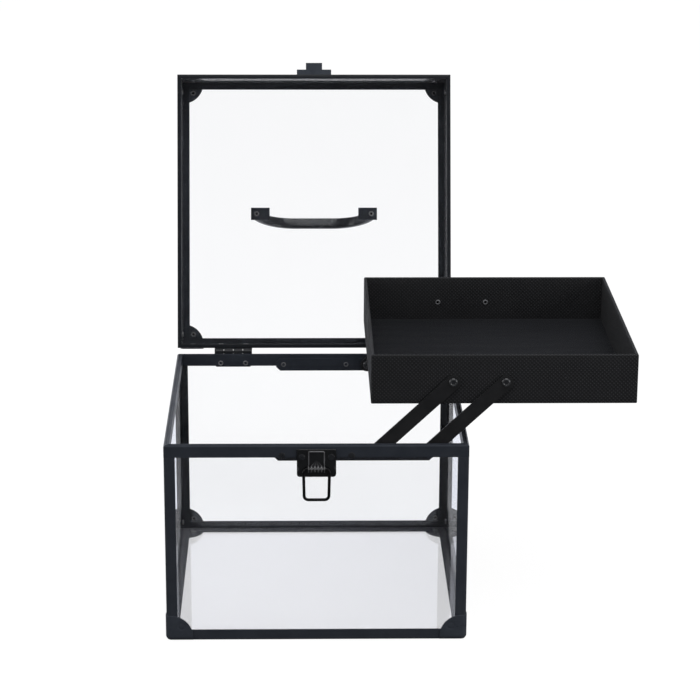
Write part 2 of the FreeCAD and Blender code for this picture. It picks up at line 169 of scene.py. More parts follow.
def dim_front(tree, place, fade, mirrored):
    """1 for plain rays; for mirrored ones a share that rises along y from the dark front to 1."""
    y = node(tree, "SeparateXYZ", Vector=place).outputs["Y"]
    loss = stretch(tree, y, *fade, 1 - DARK_FRONT, 0)
    return maths(tree, "SUBTRACT", 1, maths(tree, "MULTIPLY", mirrored, loss))


def make_world():
    """White world: strength 1 where it is seen, lower where it lights, dim where a gloss looks forwards."""
    world = bpy.data.worlds.new("white_room")
    world.use_nodes = True
    tree = world.node_tree
    looks, mirrored = sight(tree)
    shown = dim_front(tree, node(tree, "TexCoord").outputs["Generated"], WORLD_FADE, mirrored)
    strength = maths(tree, "MULTIPLY", stretch(tree, looks, 0, 1, ROOM_LIGHT, 1), shown)
    feed(tree, tree.nodes["Background"], Color=mixed(tree, mirrored, WHITE, COOL_WHITE), Strength=strength)
    return world


def make_paper():
    """Paper whose own glow is seen only by looking rays, over a matt share that takes shadows."""
    paper, tree, shade = new_finish("white_paper")
    looks, mirrored = sight(tree)
    shown = dim_front(tree, node(tree, "TexCoord").outputs["Object"], PAPER_FADE, mirrored)
    glow = maths(tree, "MULTIPLY", maths(tree, "MULTIPLY", looks, PAPER_GLOW), shown)
    feed(
        tree, shade, Base_Color=maths(tree, "MULTIPLY", shown, PAPER_ALBEDO), Emission_Strength=glow,
        Emission_Color=mixed(tree, mirrored, WHITE, COOL_WHITE), Roughness=1, Specular_IOR_Level=0,
    )
    return paper


def soft_lamp(name, place, size, watts):
    """Square area lamp that looks from a place at the object."""
    lamp = bpy.data.lights.new(name, "AREA")
    lamp.size, lamp.energy = size, watts
    holder = bpy.data.objects.new(name, lamp)
    scene.collection.objects.link(holder)
    holder.matrix_world = (LAMP_AIM - Vector(place)).to_track_quat("-Z", "Y").to_matrix().to_4x4()
    holder.matrix_world.translation = Vector(place)


scene.world = make_world()
paper_mesh = bpy.data.meshes.new("floor_paper")
corners = np.array([[-1, -1, 0], [1, -1, 0], [1, 1, 0], [-1, 1, 0]]) * PAPER_HALF - [0, 0, PAPER_DROP]
paper_mesh.from_pydata(corners.tolist(), [], [(0, 1, 2, 3)])
paper_mesh.materials.append(make_paper())
floor = bpy.data.objects.new("floor_paper", paper_mesh)
scene.collection.objects.link(floor)
soft_lamp("left_window", place=(-1.9, -0.5, 0.8), size=1.2, watts=16)
soft_lamp("right_window", place=(1.9, -1.1, 0.6), size=1.2, watts=18)
soft_lamp("top_softbox", place=(0.3, -0.5, 2.1), size=1.5, watts=23)

# %% [markdown]
# ## Surfaces from grids of points
# Most new pieces here are either a profile turned round an axis or a section carried along a path. Both
# are grids: one number counts along, the other counts round. Working them out as whole arrays is quick,
# and one helper turns any stack of grids into a mesh, so each piece only has to state its formula.

# %% Turn grids into meshes
MERGE_REACH, SLIVER, STEEP = 1e-6, 1e-7, 0.9
new_pieces = []


def grid_mesh(name, grids, wrap=(False, False), flip=None):
    """Mesh over a stack of point grids (..., n, m, 3): a cell joins a point to its next along and next round.

    A wrapped direction joins its last row to its first. A flip flag per grid turns its cells over.
    """
    n, m = grids.shape[-3:-1]
    stack = grids.reshape(-1, n * m, 3)
    row = np.arange(n if wrap[0] else n - 1)[:, None]
    col = np.arange(m if wrap[1] else m - 1)[None, :]
    next_row, next_col = (row + 1) % n, (col + 1) % m
    cell = np.stack([row * m + col, next_row * m + col, next_row * m + next_col, row * m + next_col], -1)
    cells = cell.reshape(1, -1, 4) + (np.arange(len(stack)) * n * m)[:, None, None]
    if flip is not None:
        cells = np.where(np.reshape(flip, (-1, 1, 1)), cells[..., ::-1], cells)
    mesh = bpy.data.meshes.new(name)
    mesh.from_pydata(stack.reshape(-1, 3).tolist(), [], cells.reshape(-1, 4).tolist())
    return mesh


def joined_mesh(name, meshes):
    """One mesh of several, each a shell of its own."""
    work = bmesh.new()
    for part in meshes:
        work.from_mesh(part)
    mesh = bpy.data.meshes.new(name)
    work.to_mesh(mesh)
    work.free()
    return mesh


def points_of(mesh):
    """Points of a mesh, as an array."""
    points = np.zeros(len(mesh.vertices) * 3)
    mesh.vertices.foreach_get("co", points)
    return points.reshape(-1, 3)


def finished_piece(name, mesh, body, slot, closed=True, smooth_angle=40):
    """Merge doubled points, face walls outwards, smooth the soft edges and let the piece ride on a body."""
    work = bmesh.new()
    work.from_mesh(mesh)
    bmesh.ops.remove_doubles(work, verts=work.verts, dist=MERGE_REACH)
    bmesh.ops.dissolve_degenerate(work, edges=work.edges, dist=SLIVER)
    if closed:
        bmesh.ops.recalc_face_normals(work, faces=work.faces)
    work.to_mesh(mesh)
    work.free()
    piece = bpy.data.objects.new(name, mesh)
    scene.collection.objects.link(piece)
    mesh.shade_smooth()
    mesh.set_sharp_from_angle(angle=math.radians(smooth_angle))
    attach(piece, body)
    new_pieces.append(piece)
    print(name, "on", body, "faces", len(mesh.polygons))
    return piece


def grid_piece(name, grids, body, slot, wrap=(False, True), **more):
    """Finished piece over a stack of point grids."""
    return finished_piece(name, grid_mesh(name, grids, wrap), body, slot, **more)


def unit(vectors):
    """Vectors divided by their lengths."""
    return vectors / np.linalg.norm(vectors, axis=-1, keepdims=True)


def turned(profile, places, axes, around=24):
    """Profile of (radius, height) turned round each axis: place + radius (cos e1 + sin e2) + height axis."""
    places = np.asarray(places, float)
    axes = unit(np.broadcast_to(np.asarray(axes, float), places.shape))
    helper = np.where(np.abs(axes[:, 2:]) > STEEP, [[1.0, 0, 0]], [[0, 0, 1.0]])
    first = unit(np.cross(helper, axes))
    second = np.cross(axes, first)
    angle = np.linspace(0, 2 * np.pi, around, endpoint=False)[None, :, None, None]
    radius, height = np.asarray(profile, float).T
    ring = np.cos(angle) * first[:, None, None] + np.sin(angle) * second[:, None, None]
    rows = radius[None, None, :, None] * ring + height[None, None, :, None] * axes[:, None, None]
    return places[:, None, None] + rows


def arc(centre, radius, start, end, count=7):
    """Points (x, y) on a circle from one angle to another, in degrees."""
    angle = np.radians(np.linspace(start, end, count))
    return np.asarray(centre) + radius * np.stack([np.cos(angle), np.sin(angle)], -1)


def rounded_run(points, radius, steps=10):
    """Straight runs through corner points, each inner corner replaced by an arc of a radius.

    The arc starts radius times the cotangent of half the corner's angle from the corner.
    """
    points = np.asarray(points, float)
    corner, back, on = points[1:-1], unit(points[:-2] - points[1:-1]), unit(points[2:] - points[1:-1])
    half = np.arccos(np.clip((back * on).sum(-1, keepdims=True), -1, 1)) / 2
    centre = corner + unit(back + on) * radius / np.sin(half)
    reach = radius / np.tan(half)
    spoke, last = (corner + back * reach - centre) / radius, (corner + on * reach - centre) / radius
    sweep = np.pi - 2 * half[:, None]
    share = np.linspace(0, 1, steps + 1)[None, :, None]
    turn = np.sin((1 - share) * sweep) * spoke[:, None] + np.sin(share * sweep) * last[:, None]
    arcs = centre[:, None] + radius * (turn / np.sin(sweep))
    return np.concatenate([points[:1], arcs.reshape(-1, 3), points[-1:]])


def carried(path, section, side_axis, swell):
    """Section of (side, out) points carried along a flat path: path + side * axis + out * (axis x tangent).

    The swell scales the section at each point of the path, and 0 at an end closes it to a point.
    """
    out = unit(np.cross(side_axis, unit(np.gradient(path, axis=0))))
    side, rise = section[None, :, :1] * swell[:, None, :1], section[None, :, 1:] * swell[:, None, 1:]
    return path[:, None] + side * np.asarray(side_axis, float) + rise * out[:, None]


# %% [markdown]
# ## Where the lid stands
# Pieces of the lid are easiest to draw on the shut case and then swing open, as the real lid does.

# %% Swing points with the lid
CASE_HALF, CAP_SHEET, FRAME_SHEET, PANEL_SHEET = 125 * MM, 0.8 * MM, 1.3 * MM, 2.0 * MM
LID_TOP = 218.6 * MM
HINGE_Y, HINGE_Z, LID_SWING = 128.75 * MM, 173.45 * MM, math.radians(-107.6)


def swung(points, angle, y=0.0, z=0.0):
    """Points turned by an angle about the line along x at a y and a z."""
    c, s = math.cos(angle), math.sin(angle)
    off_y, off_z = points[..., 1] - y, points[..., 2] - z
    return np.stack([points[..., 0], y + c * off_y - s * off_z, z + s * off_y + c * off_z], -1)


def open_lid(points, swing=LID_SWING):
    """Points of the shut lid, turned about the hinge line by the angle at which the lid leans back."""
    return swung(points, swing, HINGE_Y, HINGE_Z)


print("hinge line at y", HINGE_Y, "z", HINGE_Z)

# %% [markdown]
# ## Pressed corner caps
# Each corner of the case and of the lid wears a cap of thin sheet, pressed over a rounded die, with three
# ears whose ends are quarter rounds and a shallow dimple for each rivet. A bevelled box would show hard
# facets, so each cap is three square grids. A grid is bent so that its far sides become the quarter round,
# then every point is pulled onto the rounded corner: the nearest point of an inner core, plus the radius.

# %% Press the caps
EAR_REACH, CAP_ROUND, CAP_EDGE, SHARP = 22.8 * MM, 4.4 * MM, 0.25 * MM, math.radians(60)
EAR_RIVET, DIMPLE_DEPTH, DIMPLE_RADIUS = 13.5 * MM, 0.40 * MM, 3.3 * MM


def ear_grid(strip=7, fan=24):
    """Outer face of one ear, (along, aside, 0) from the corner: a strip of the rounding, then a quarter disc.

    In the disc, along = u sqrt(1 - v^2 / 2) and aside = v sqrt(1 - u^2 / 2), which bends a square into it.
    """
    near = np.concatenate([np.linspace(0, 1, strip), np.ones(fan)])
    far = np.concatenate([np.zeros(strip), np.linspace(0, 1, fan + 1)[1:]])
    n1, n2 = np.meshgrid(near, near, indexing="ij")
    u, v = np.meshgrid(far, far, indexing="ij")
    disc = EAR_REACH - CAP_ROUND
    along = CAP_ROUND * n1 + disc * u * np.sqrt(1 - v * v / 2)
    aside = CAP_ROUND * n2 + disc * v * np.sqrt(1 - u * u / 2)
    return np.stack([along, aside, np.zeros_like(along)], -1)


def pressed(points):
    """Pull points of a sharp corner onto its rounding, then sink the dimple.

    Rounding: core - radius * unit(core - point), with the core never nearer than the radius.
    Dimple: depth * exp(-(distance from the rivet / dimple radius)^6).
    """
    core = np.maximum(points, CAP_ROUND)
    rounded = core - CAP_ROUND * unit(core - points)
    away = np.hypot(points[..., 0] - EAR_RIVET, points[..., 1] - EAR_RIVET)
    rounded[..., 2] += DIMPLE_DEPTH * np.exp(-((away / DIMPLE_RADIUS) ** 6))
    return rounded


plan = np.array([[-1, -1], [1, -1], [1, 1], [-1, 1]], float)
cap_face = CASE_HALF + CAP_SHEET
foot_corners = np.column_stack([plan * cap_face, np.zeros(4)])
lid_corners = np.column_stack([plan * cap_face, np.full(4, LID_TOP)])
foot_inward, lid_inward = np.column_stack([-plan, np.ones(4)]), np.column_stack([-plan, -np.ones(4)])


def cap_piece(name, corners, inward, body, cad_node):
    """Three ears for each corner as one open skin, given its sheet inwards and a fine soft edge.

    A corner with an odd number of turned axes mirrors the ears, and the others have their cells turned over.
    """
    ear = pressed(ear_grid())
    ears = np.stack([ear, np.roll(ear, 1, -1), np.roll(ear, 2, -1)])
    grids = corners[:, None, None, None] + ears[None] * inward[:, None, None, None]
    if body == "lid":
        grids = open_lid(grids)
    mesh = grid_mesh(name, grids, flip=np.repeat(np.prod(inward, -1) > 0, 3))
    piece = finished_piece(name, mesh, body, "black_steel", closed=False)
    sheet = piece.modifiers.new("sheet", "SOLIDIFY")
    sheet.thickness, sheet.offset = CAP_SHEET, -1
    edge = piece.modifiers.new("edge", "BEVEL")
    edge.width, edge.segments, edge.limit_method, edge.angle_limit = CAP_EDGE, 2, "ANGLE", SHARP
    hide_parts(cad_node)
    return piece


foot_cap_piece = cap_piece("pressed_foot_caps", foot_corners, foot_inward, "case", "foot_caps")
lid_cap_piece = cap_piece("pressed_lid_caps", lid_corners, lid_inward, "lid", "lid_caps")

# %% [markdown]
# ## Round rectangles
# The clear sheets, the latch and the tray are each a profile carried round a rectangle with rounded corners.
# Moving the outline inwards shortens its corner radii too, as a bent sheet is tighter inside than outside.

# %% Draw round rectangles
LEAST_BEND = 0.3 * MM


def round_rectangle(width, depth, radii, inset, runs=24, turn=5):
    """Outlines of a rectangle moved inwards by each inset, with its four corner radii less the inset.

    Each corner is a quarter turn about its centre; the straight runs between are divided evenly.
    """
    inset = np.asarray(inset, float)[:, None]
    angle = np.linspace(0, np.pi / 2, turn)[None, :]
    turns = []
    for quarter, (sx, sy) in enumerate([(1, 1), (-1, 1), (-1, -1), (1, -1)]):
        bend = np.maximum(radii[quarter] - inset, LEAST_BEND)
        x, y = sx * (width / 2 - inset - bend), sy * (depth / 2 - inset - bend)
        a = angle + quarter * np.pi / 2
        turns.append(np.stack([x + bend * np.cos(a), y + bend * np.sin(a)], -1))
    share = np.linspace(0, 1, runs + 1)[None, 1:-1, None]
    lines = []
    for this, after in zip(turns, turns[1:] + turns[:1]):
        lines += [this, this[:, -1:] * (1 - share) + after[:, :1] * share]
    return np.concatenate(lines, 1)


def stacked(outlines, heights):
    """Outlines set at their heights, one over the other, and closed to a point on the axis at both ends."""
    heights = np.broadcast_to(heights[:, None, None], outlines.shape[:2] + (1,))
    rows = np.concatenate([outlines, heights], -1)
    return np.concatenate([rows[:1] * [0, 0, 1], rows, rows[-1:] * [0, 0, 1]])


# %% [markdown]
# ## The clear sheets
# The ten panels are acrylic sheet, sawn to size, with their sharp edges scraped off. In the CAD model they
# touch the bars exactly. Where a clear face and a black face share one plane, a ray can't tell which comes
# first, and the bar behind turns to a black hole. So each sheet is a hair thinner here, as real sheet is,
# and a film of air lets the light reach the bars.

# %% Cut the clear sheets
AIR_FILM, SCRAPED_EDGE, SHEET_CORNER = 0.06 * MM, 0.3 * MM, 0.4 * MM
clear_sheets = []


def sheet_grid(low, high):
    """Closed sheet in a box, thinnest axis upwards: its outline is inset at both faces and full between."""
    thin = int(np.argmin(high - low))
    wide, deep, thick = np.roll(high - low, 2 - thin)
    heights = np.array([0, SCRAPED_EDGE, thick - SCRAPED_EDGE, thick])
    edge = [SCRAPED_EDGE, 0, 0, SCRAPED_EDGE]
    outlines = round_rectangle(wide, deep, [SHEET_CORNER] * 4, edge, runs=2, turn=3)
    return np.roll(stacked(outlines, heights - thick / 2), thin - 2, -1) + (low + high) / 2


def cut_sheet(name, body):
    """Sheet for a CAD panel, thinner by the film of air; one of the lid is drawn with the lid shut."""
    points = points_of(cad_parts[name].data)
    if body == "lid":
        points = open_lid(points, -LID_SWING)
    grid = sheet_grid(points.min(0) + AIR_FILM, points.max(0) - AIR_FILM)
    if body == "lid":
        grid = open_lid(grid)
    piece = grid_piece("clear_" + name, grid, body, "clear_acrylic", smooth_angle=15)
    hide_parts(name)
    clear_sheets.append(piece)


for side in ("floor", "front", "right", "rear", "left"):
    cut_sheet(side + "_panel", "case")
for name in ("lid_top_panel", "lid_panel_front", "lid_panel_right", "lid_panel_rear", "lid_panel_left"):
    cut_sheet(name, "lid")

# %% [markdown]
# ## The rims of the lid
# A drawn channel caps the edges of the lid's walls. Seen from the front, its inner lip is thin and short, so
# a bright line of clear wall shows beside it. All four bars are one closed section, led round the lid's
# square. At each mitre the section dips by a tenth of a millimetre, which draws the fine line of the joint.

# %% Lead the rim round the lid
RIM_FOOT, RIM_LEG, RIM_SOFT = 173.6 * MM, 10.5 * MM, 0.4 * MM
LIP_REACH, LIP_SHEET, MITRE_GAP = 2.2 * MM, 0.25 * MM, 0.12 * MM


def rim_section():
    """(inward, up) corners of the channel: long outer leg, flat foot with soft corners, short thin lip."""
    soft, leg, wall = RIM_SOFT, FRAME_SHEET, FRAME_SHEET + PANEL_SHEET
    lip = wall + LIP_SHEET
    foot = [arc((soft, soft), soft, 180, 270, 4), arc((lip - soft, soft), soft, 270, 360, 4)]
    inside = [[lip, LIP_REACH], [wall, LIP_REACH], [wall, leg], [leg, leg], [leg, RIM_LEG], [0, RIM_LEG]]
    return np.concatenate([*foot, inside])


def led_round(section, half, foot):
    """Section at three stations per corner of a square: before the mitre, in its dip, and after it.

    A point lies at the corner, moved in by its inward share along both sides, and up by its height.
    """
    middle = section.mean(0)
    dipped = section + np.clip(middle - section, -MITRE_GAP, MITRE_GAP)
    along = np.roll(plan, -1, 0) - plan
    along /= np.abs(along).max()
    stations = []
    for corner, before, after in zip(plan, np.roll(along, 1, 0), along):
        for rows, shift in ((section, -before), (dipped, 0 * after), (section, after)):
            place = corner * (half - rows[:, :1]) + shift * MITRE_GAP
            stations.append(np.column_stack([place, foot + rows[:, 1]]))
    return np.stack(stations)


rim_grid = open_lid(led_round(rim_section(), CASE_HALF, RIM_FOOT))
lid_rim_piece = grid_piece(
    "drawn_lid_rims", rim_grid, "lid", "black_aluminium", wrap=(True, True), smooth_angle=35
)
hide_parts("lid_rim_front", "lid_rim_right", "lid_rim_rear", "lid_rim_left")

# %% [markdown]
# ## The pressed latch
# The latch is one piece of sheet: a flat plate, a raised flap with a rolled rim, and a ribbed barrel at the
# flap's foot for the bail. Plate and flap are stacks of round rectangles, so a row of (inset, out) pairs
# shapes each edge. The barrel is a turned profile whose radius ripples along its length. Every point keeps
# a share of painted highlight, full on the rolled rim and along the ribs' crests, for the finish to show as a
# pale tone.

# %% Press the latch
LATCH_WIDTH, LATCH_HEIGHT, LATCH_TOP, LATCH_SHEET = 32.2 * MM, 23.9 * MM, 170.1 * MM, 1.2 * MM
FLAP_WIDTH, FLAP_MARGIN, RIM_PROUD = 13.8 * MM, 1.2 * MM, 0.8 * MM
BARREL_RADIUS, BARREL_BORE, RIB_PITCH, RIB_DEPTH = 2.84 * MM, 1.18 * MM, 2.76 * MM, 0.65 * MM
BAIL_Y, BAIL_Z, BARREL_REACH = -127.85 * MM, 153.7 * MM, BARREL_RADIUS * 1.01
PLATE_RADII, FLAP_RADII = np.array([[0.5, 0.5, 2.5, 2.5], [1.5, 1.5, 0.4, 0.4]]) * MM
PLATE_EDGE = [(0, 0), (0, 0.85), (0.08, 1.05), (0.25, 1.17), (0.5, 1.2), (2.0, 1.2)]
FLAP_EDGE = [(0, 0), (0, 0.5), (0.12, 0.82), (0.42, 1.0), (0.8, 0.95), (1.15, 0.65), (1.5, 0.5), (2.5, 0.45)]


def pressed_plate(width, height, radii, edge, centre):
    """Closed plate in the x-z plane: outlines from (inset, out) pairs in millimetres, out to the viewer."""
    inset, out = np.asarray(edge, float).T * MM
    outlines = round_rectangle(width, height, radii, inset, runs=8, turn=8)
    return stacked(outlines, -out)[..., [0, 2, 1]] + centre


front, flap_height = -CASE_HALF, LATCH_TOP - FLAP_MARGIN - BAIL_Z
latch_face = front - LATCH_SHEET
plate_place, flap_place = [0, front, LATCH_TOP - LATCH_HEIGHT / 2], [0, latch_face, BAIL_Z + flap_height / 2]
plate_grid = pressed_plate(LATCH_WIDTH, LATCH_HEIGHT, PLATE_RADII, PLATE_EDGE, plate_place)
flap_grid = pressed_plate(FLAP_WIDTH, flap_height, FLAP_RADII, FLAP_EDGE, flap_place)
along = np.linspace(0, FLAP_WIDTH, 61)
ripple = BARREL_RADIUS - RIB_DEPTH * (0.5 - 0.5 * np.cos(2 * np.pi * along / RIB_PITCH)) ** 2
barrel = np.concatenate([np.stack([ripple, along], -1), [[BARREL_BORE, FLAP_WIDTH], [BARREL_BORE, 0]]])
barrel_grid = turned(barrel, [[-FLAP_WIDTH / 2, BAIL_Y, BAIL_Z]], [[1, 0, 0]], 32)
latch_mesh = joined_mesh("pressed_latch", [
    grid_mesh("latch_plate_skin", plate_grid, wrap=(False, True)),
    grid_mesh("latch_flap_skin", flap_grid, wrap=(False, True)),
    grid_mesh("latch_barrel_skin", barrel_grid, wrap=(True, True)),
])
latch_piece = finished_piece("pressed_latch", latch_mesh, "case", "black_steel")
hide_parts("latch_plate")


def paint_latch_highlight(mesh):
    """Painted highlight from 0 to 1 per point: 1 on the flap's rolled rim, ((1 + cos) / 2)^2 along the
    barrel's ribs.
    """
    x, y, z = points_of(mesh).T
    rib = (0.5 + 0.5 * np.cos(2 * np.pi * (x + FLAP_WIDTH / 2) / RIB_PITCH)) ** 2
    on_barrel = np.hypot(y - BAIL_Y, z - BAIL_Z) < BARREL_REACH
    on_rim = (y < latch_face - RIM_PROUD) & (z > BAIL_Z + BARREL_RADIUS)
    painted_highlight = mesh.attributes.new("painted_highlight", "FLOAT", "POINT")
    painted_highlight.data.foreach_set("value", np.where(on_barrel, rib, on_rim).astype(np.float32))


paint_latch_highlight(latch_piece.data)

# %% [markdown]
# ## The wire bail
# The latch is closed by a loop of wire, bent at four corners, whose two ends enter the barrel. It is a
# circle carried along a run with rounded corners, a little thicker outside the barrel, where the black coat
# is full. A curve with a bevel would do as well, but the array gives the exact bends and a closed mesh.

# %% Bend the bail
BAIL_WIRE, BAIL_COAT, BAIL_BEND, BAIL_TIP, BAIL_BARE = np.array([1.1, 0.15, 3.6, 0.01, 7.0]) * MM
bail_half = np.array([[2.9, 0, 0], [10.65, 0, 0], [10.1, 0, -26.7]]) * MM
bail_run = rounded_run(np.concatenate([bail_half, bail_half[::-1] * [-1, 1, 1]]), BAIL_BEND)
tips = bail_run[[0, -1]] + np.array([[-BAIL_TIP, 0, 0], [BAIL_TIP, 0, 0]])
bail_run = np.concatenate([tips[:1], bail_run, tips[1:]]) + [0, BAIL_Y, BAIL_Z]
outside = np.maximum(np.abs(bail_run[:, 0]), BAIL_Z - bail_run[:, 2]) - BAIL_BARE
bail_swell = np.repeat((1 + BAIL_COAT / BAIL_WIRE * np.clip(outside / MM, 0, 1))[:, None], 2, 1)
bail_swell[[0, -1]] = 0
wire_section = arc((0, 0), BAIL_WIRE, 0, 360, 17)[:-1]
bail_grid = carried(bail_run, wire_section, (0, 1, 0), bail_swell)
bail_piece = grid_piece("bent_wire_bail", bail_grid, "bail", "bail_wire")
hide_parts("latch_bail")

# %% [markdown]
# ## The moulded handle
# The grip is a soft-edged moulding, bowed between two brackets and drooping a little with the lid open.
# Its section is a superellipse, flatter than a circle, carried along a bow of two wide arcs. It is widest
# in the middle, where the fingers hold it, and narrows to the ends. A subdivided box could look alike, but
# then the bow's true radius would be lost.

# %% Mould the grip
HANDLE_SPAN, BRACKET_SHEET, SIDE_PLAY = 117.4 * MM, 1.3 * MM, 0.3 * MM
GRIP_RISE, GRIP_WIDTH, GRIP_THICKNESS, GRIP_BEND, GRIP_END = np.array([31.5, 9.8, 5.0, 41.4, 2.2]) * MM
GRIP_POWER, GRIP_TAPER, GRIP_DROOP = 5.0, 0.12, math.radians(-14.5)
END_ROUND = np.array([0, 0.62, 0.88, 1.0])
HANDLE_AXIS = np.array([0, 0, 222.9 * MM])


def superellipse(width, height, power, count=28):
    """Closed outline with |x / a|^power + |y / b|^power = 1, stepped evenly in angle."""
    angle = np.linspace(0, 2 * np.pi, count, endpoint=False)
    wave = np.stack([np.cos(angle), np.sin(angle)], -1)
    return np.sign(wave) * np.abs(wave) ** (2 / power) * [width / 2, height / 2]


def grip_path():
    """Middle line of the bow: a short upright end, an arc that leans in, a flat middle, the same mirrored."""
    outer, drop = HANDLE_SPAN / 2 - BRACKET_SHEET - SIDE_PLAY, GRIP_RISE - GRIP_END
    turn = outer - math.sqrt(drop * (2 * GRIP_BEND - drop))
    radius, middle_z = GRIP_BEND - GRIP_THICKNESS / 2, GRIP_RISE - GRIP_BEND
    end_x = outer - GRIP_THICKNESS / 2
    lean = 90 - math.degrees(math.asin((end_x - turn) / radius))
    bend = arc((turn, middle_z), radius, lean, 90, 25)
    foot = np.stack([np.full(5, end_x), -GRIP_END + np.array([0, 0.1, 0.5, 1.2, 2.2]) * MM], -1)
    half = np.concatenate([foot, bend])
    whole = np.concatenate([half, half[::-1] * [-1, 1]])
    return np.stack([whole[:, 0], np.zeros(len(whole)), whole[:, 1]], -1)


bow = grip_path()
grip_swell = np.stack([1.0 - GRIP_TAPER * (bow[:, 0] / bow[0, 0]) ** 2, np.ones(len(bow))], -1)
grip_swell[:len(END_ROUND)] *= END_ROUND[:, None]
grip_swell[-len(END_ROUND):] *= END_ROUND[::-1, None]
grip_grid = carried(bow, superellipse(GRIP_WIDTH, GRIP_THICKNESS, GRIP_POWER), (0, 1, 0), grip_swell)
grip_grid = open_lid(swung(grip_grid, GRIP_DROOP) + HANDLE_AXIS)
grip_piece = grid_piece("moulded_grip", grip_grid, "handle", "grip_plastic", smooth_angle=60)
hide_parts("handle_grip")

# %% [markdown]
# ## The trunnions
# Two short round ends of the grip turn in the brackets' ears. A turned profile with a soft end is enough.

# %% Turn the trunnions
trunnion = np.array([[0, -5.0], [1.8, -5.0], [1.8, -0.35], [1.45, 0], [0, 0]]) * MM
outwards = np.array([[1, 0, 0], [-1, 0, 0]])
trunnion_grid = open_lid(turned(trunnion, HANDLE_AXIS + outwards * HANDLE_SPAN / 2, outwards))
trunnion_piece = grid_piece("grip_trunnions", trunnion_grid, "handle", "grip_plastic", (True, False))

# %% [markdown]
# ## The covered tray
# The tray is stiff board wrapped in black coated cloth, so its corners are crisp but never sharp and its
# top edge is a soft fold. One wall profile is carried round a rectangle with small corner radii: up the
# outside, over the fold, down the inside. A modifier on a box would round all edges alike, whereas the
# profile lets the fold be fuller than the foot.

# %% Wrap the tray
TRAY_LEFT, TRAY_WIDTH, TRAY_DEPTH = 44.415 * MM, 217.7 * MM, 233.6 * MM
TRAY_BOTTOM, TRAY_HEIGHT, TRAY_WALL = 206.169 * MM, 41.7 * MM, 2.6 * MM
TRAY_CORNER, TRAY_FOOT = 1.3 * MM, 0.7 * MM


def tray_profile():
    """(inset, height) from the foot up the outside, over the fold and down the inside to the floor."""
    foot = arc((TRAY_FOOT, TRAY_FOOT), TRAY_FOOT, 270, 180, 5)
    wall = np.stack([np.zeros(5), np.linspace(6, 35, 5) * MM], -1)
    fold = arc((TRAY_WALL / 2, TRAY_HEIGHT - TRAY_WALL / 2), TRAY_WALL / 2, 180, 0, 11)
    inside = np.array([[2.6, 34.0], [2.6, 20.0], [2.6, 8.0], [2.6, 3.0], [3.0, 2.6]]) * MM
    return np.concatenate([foot, wall, fold, inside])


def lay_cloth(mesh):
    """Give a mesh a cloth map in metres: each face takes the two axes across its main direction."""
    corner_vertex, sides = np.zeros(len(mesh.loops), int), np.zeros(len(mesh.polygons), int)
    normal = np.zeros(len(mesh.polygons) * 3)
    mesh.loops.foreach_get("vertex_index", corner_vertex)
    mesh.polygons.foreach_get("loop_total", sides)
    mesh.polygons.foreach_get("normal", normal)
    place, normal = points_of(mesh)[corner_vertex], np.repeat(normal.reshape(-1, 3), sides, 0)
    pairs = np.array([[1, 2], [0, 2], [0, 1]])[np.abs(normal).argmax(-1)]
    layer = mesh.uv_layers.new(name="cloth")
    layer.data.foreach_set("uv", np.take_along_axis(place, pairs, -1).astype(np.float32).ravel())


profile = tray_profile()
outline = round_rectangle(TRAY_WIDTH, TRAY_DEPTH, [TRAY_CORNER] * 4, profile[:, 0])
tray_middle = np.array([TRAY_LEFT + TRAY_WIDTH / 2, 0, TRAY_BOTTOM])
tray_piece = grid_piece("cloth_tray", stacked(outline, profile[:, 1]) + tray_middle, "tray", "tray_cloth")
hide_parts("tray_tub")
lay_cloth(tray_piece.data)

# %% [markdown]
# ## The lining card
# A covered card lies loose on the tray's floor. Its edges are folded under, and it isn't quite flat: its
# middle rises by a few tenths of a millimetre. It is a square grid whose height is a low crown, closed by
# a rim and an underside.

# %% Lay the card
CARD_CROWN, CARD_FOLD, CARD_EDGE = 0.35 * MM, 0.5 * MM, 0.999


def crowned_card(low, high, count=33):
    """Top and underside of a card in a box, with x and y from -1 to 1 across it.

    Top = high - crown + crown (1 - x^2)(1 - y^2), and lower by the fold at the edges.
    """
    s = np.linspace(-1, 1, count)
    x, y = np.meshgrid(s, s, indexing="ij")
    drop = np.where(np.maximum(np.abs(x), np.abs(y)) > CARD_EDGE, CARD_FOLD, 0)
    top = high[2] - CARD_CROWN + CARD_CROWN * (1 - x ** 2) * (1 - y ** 2) - drop
    middle, half = (np.add(low, high) / 2)[:2], (np.subtract(high, low) / 2)[:2]
    spots = middle + half * np.stack([x, y], -1)
    return np.dstack([spots, top]), np.dstack([spots, np.full_like(top, low[2])])


upper, lower = crowned_card(*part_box("tray_liner"))
rim_index = [np.s_[0, :], np.s_[:, -1], np.s_[-1, ::-1], np.s_[::-1, 0]]
rim = np.stack([np.concatenate([sheet[i] for i in rim_index]) for sheet in (lower, upper)])
card_mesh = joined_mesh("lining_card", [grid_mesh("card_face", sheet) for sheet in (upper, lower, rim)])
card_piece = finished_piece("lining_card", card_mesh, "tray", "liner_cloth")
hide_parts("tray_liner")
lay_cloth(card_piece.data)
